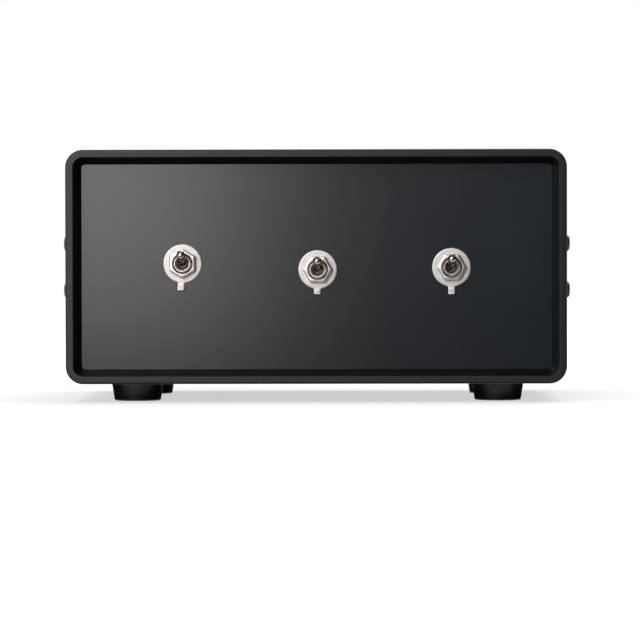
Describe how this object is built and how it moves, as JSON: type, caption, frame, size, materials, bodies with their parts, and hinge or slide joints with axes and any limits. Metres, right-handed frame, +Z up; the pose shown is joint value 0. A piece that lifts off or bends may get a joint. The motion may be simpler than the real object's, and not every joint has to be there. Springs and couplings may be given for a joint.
{
  "type": "passive preamplifier",
  "caption": "Small black desktop audio case with a recessed front panel carrying toggle switches, rubber feet, and phono sockets on a recessed rear panel.",
  "frame": {"origin": "middle of the whole part's box, on the surface that the feet stand on", "axes": "+Z up, +X to the right seen from the front, the switches face -Y"},
  "size_m": [0.1572, 0.1262, 0.0778],
  "materials": {
    "bezel_black": "black moulded frame, fine satin texture",
    "panel_black": "black anodised sheet, satin",
    "cover_black": "black powder coat on steel sheet",
    "rail_aluminium": "plain extruded bar",
    "screw_black": "black zinc",
    "screw_steel": "bright zinc",
    "foot_rubber": "black moulded rubber",
    "switch_nickel": "bright nickel plate",
    "lever_chrome": "polished chrome plate",
    "switch_housing": "moulded blue",
    "plunger_nylon": "natural nylon",
    "contact_tin": "tin plate on brass",
    "contact_gold": "gold flash on brass",
    "socket_nickel": "nickel plate on turned brass",
    "ring_white": "moulded white",
    "ring_red": "moulded red",
    "socket_insulator": "turned white plastic",
    "board_green": "green laminate",
    "resistor_blue": "lacquered film resistor",
    "spacer_brass": "nickel-free brass",
    "wire_grey": "grey insulated wire"
  },
  "bodies": {
    "case": {"front_bezel": "bezel_black", "rear_bezel": "bezel_black", "front_panel": "panel_black", "rear_panel": "panel_black", "top_cover": "cover_black", "bottom_cover": "cover_black", "left_side_rail": "rail_aluminium", "right_side_rail": "rail_aluminium", "cover_screws": "screw_black", "spacer_screws": "screw_black", "front_left_foot": "foot_rubber", "front_right_foot": "foot_rubber", "rear_left_foot": "foot_rubber", "rear_right_foot": "foot_rubber", "foot_screws": "screw_steel", "foot_nuts": "screw_steel", "board_screws": "screw_steel", "switch_front_nuts": "switch_nickel", "switch_lock_washers": "switch_nickel", "switch_back_nuts": "switch_nickel", "input_one_sockets": "socket_nickel", "input_two_sockets": "socket_nickel", "output_sockets": "socket_nickel", "socket_nuts": "socket_nickel", "white_insulator_rings": "ring_white", "red_insulator_rings": "ring_red", "socket_insulators": "socket_insulator", "socket_contacts": "contact_gold", "socket_ground_tags": "contact_tin", "attenuator_board": "board_green", "attenuator_resistors": "resistor_blue", "board_spacers": "spacer_brass", "socket_wires": "wire_grey", "switch_wires": "wire_grey", "left_switch_bushing": "switch_nickel", "left_switch_housing": "switch_housing", "left_switch_terminals": "contact_tin", "left_switch_pivot_pin": "screw_steel", "centre_switch_bushing": "switch_nickel", "centre_switch_housing": "switch_housing", "centre_switch_terminals": "contact_tin", "centre_switch_pivot_pin": "screw_steel", "right_switch_bushing": "switch_nickel", "right_switch_housing": "switch_housing", "right_switch_terminals": "contact_tin", "right_switch_pivot_pin": "screw_steel"},
    "left_lever": {"left_switch_lever": "lever_chrome", "left_switch_spring": "screw_steel", "left_switch_plunger": "plunger_nylon"},
    "left_contact_blades": {"left_switch_contact_blades": "contact_gold"},
    "centre_lever": {"centre_switch_lever": "lever_chrome", "centre_switch_spring": "screw_steel", "centre_switch_plunger": "plunger_nylon"},
    "centre_contact_blades": {"centre_switch_contact_blades": "contact_gold"},
    "right_lever": {"right_switch_lever": "lever_chrome", "right_switch_spring": "screw_steel", "right_switch_plunger": "plunger_nylon"},
    "right_contact_blades": {"right_switch_contact_blades": "contact_gold"}
  },
  "joints": [
    {"name": "left_lever_swing", "type": "hinge", "parent": "case", "child": "left_lever", "pos_m": [-0.0414, -0.04887, 0.0428], "axis": [1, 0, 0], "range_deg": [0, 22]},
    {"name": "left_contact_blades_rock", "type": "hinge", "parent": "case", "child": "left_contact_blades", "pos_m": [-0.0414, -0.04067, 0.0428], "axis": [1, 0, 0], "range_deg": [-16, 0]},
    {"name": "centre_lever_swing", "type": "hinge", "parent": "case", "child": "centre_lever", "pos_m": [0.0004, -0.04887, 0.0409], "axis": [1, 0, 0], "range_deg": [0, 22]},
    {"name": "centre_contact_blades_rock", "type": "hinge", "parent": "case", "child": "centre_contact_blades", "pos_m": [0.0004, -0.04067, 0.0409], "axis": [1, 0, 0], "range_deg": [-16, 0]},
    {"name": "right_lever_swing", "type": "hinge", "parent": "case", "child": "right_lever", "pos_m": [0.04175, -0.04887, 0.0415], "axis": [1, 0, 0], "range_deg": [0, 22]},
    {"name": "right_contact_blades_rock", "type": "hinge", "parent": "case", "child": "right_contact_blades", "pos_m": [0.04175, -0.04067, 0.0415], "axis": [1, 0, 0], "range_deg": [-16, 0]}
  ],
  "couplings": [
    {"joint": "left_contact_blades_rock", "follows": "left_lever_swing", "ratio": -0.72727},
    {"joint": "centre_contact_blades_rock", "follows": "centre_lever_swing", "ratio": -0.72727},
    {"joint": "right_contact_blades_rock", "follows": "right_lever_swing", "ratio": -0.72727}
  ]
}
